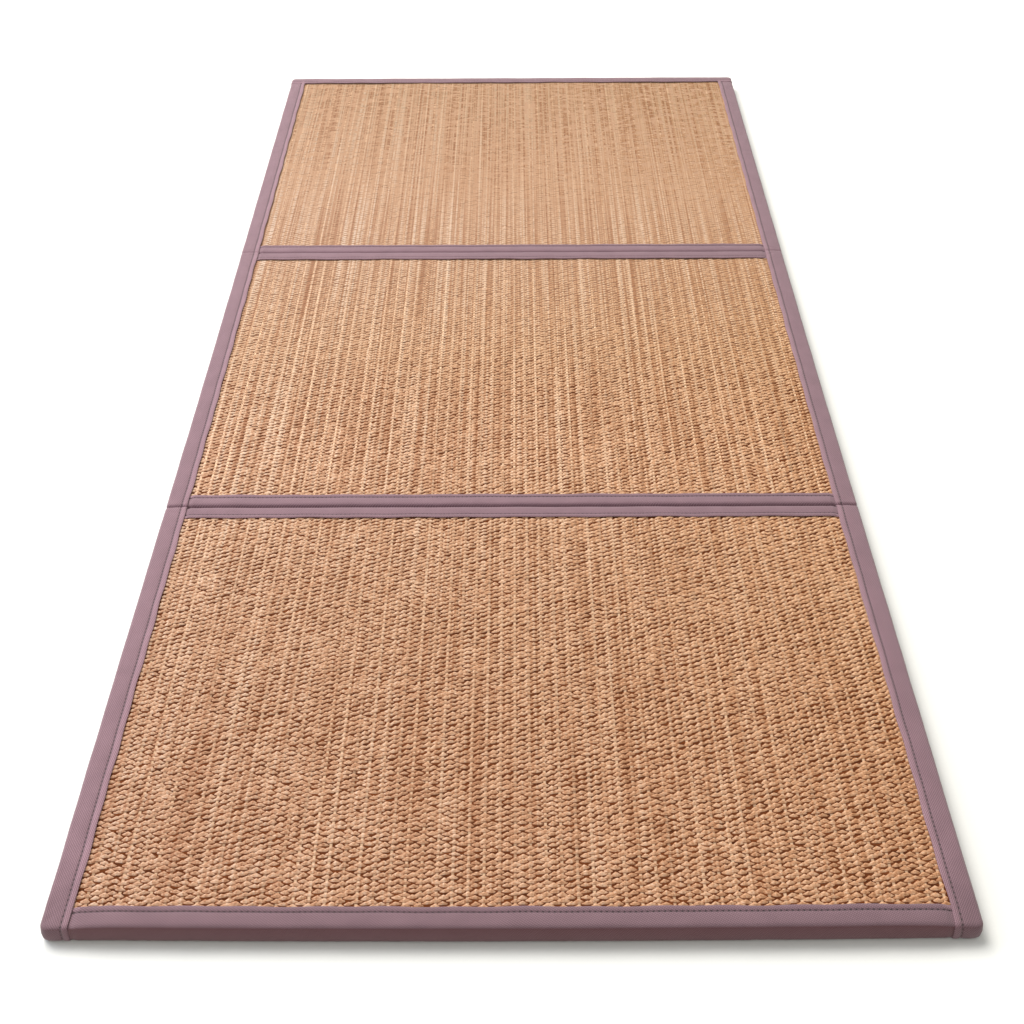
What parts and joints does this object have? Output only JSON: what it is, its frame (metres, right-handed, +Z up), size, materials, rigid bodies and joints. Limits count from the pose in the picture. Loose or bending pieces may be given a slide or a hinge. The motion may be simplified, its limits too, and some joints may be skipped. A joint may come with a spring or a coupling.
{
  "type": "folding tatami mat",
  "caption": "Thin folding sleeping mat laid flat: rush-faced padded panels bound in mauve twill tape, with a tape sewn across each fold.",
  "frame": {"origin": "middle of the underside, on the floor", "axes": "+Z up; +Y along the mat from its near end to its far end; +X to the right seen from the near end"},
  "size_m": [0.9, 2, 0.025],
  "materials": {
    "rush": "woven rush, dry and matt, with plain cloth underneath",
    "tape": "mauve twill tape, matt"
  },
  "bodies": {
    "root": {"panel_front": "rush", "panel_middle": "rush", "panel_back": "rush", "binding_front": "tape", "binding_back": "tape", "binding_fold_near": "tape", "binding_fold_far": "tape", "binding_left": "tape", "binding_right": "tape"}
  },
  "joints": []
}
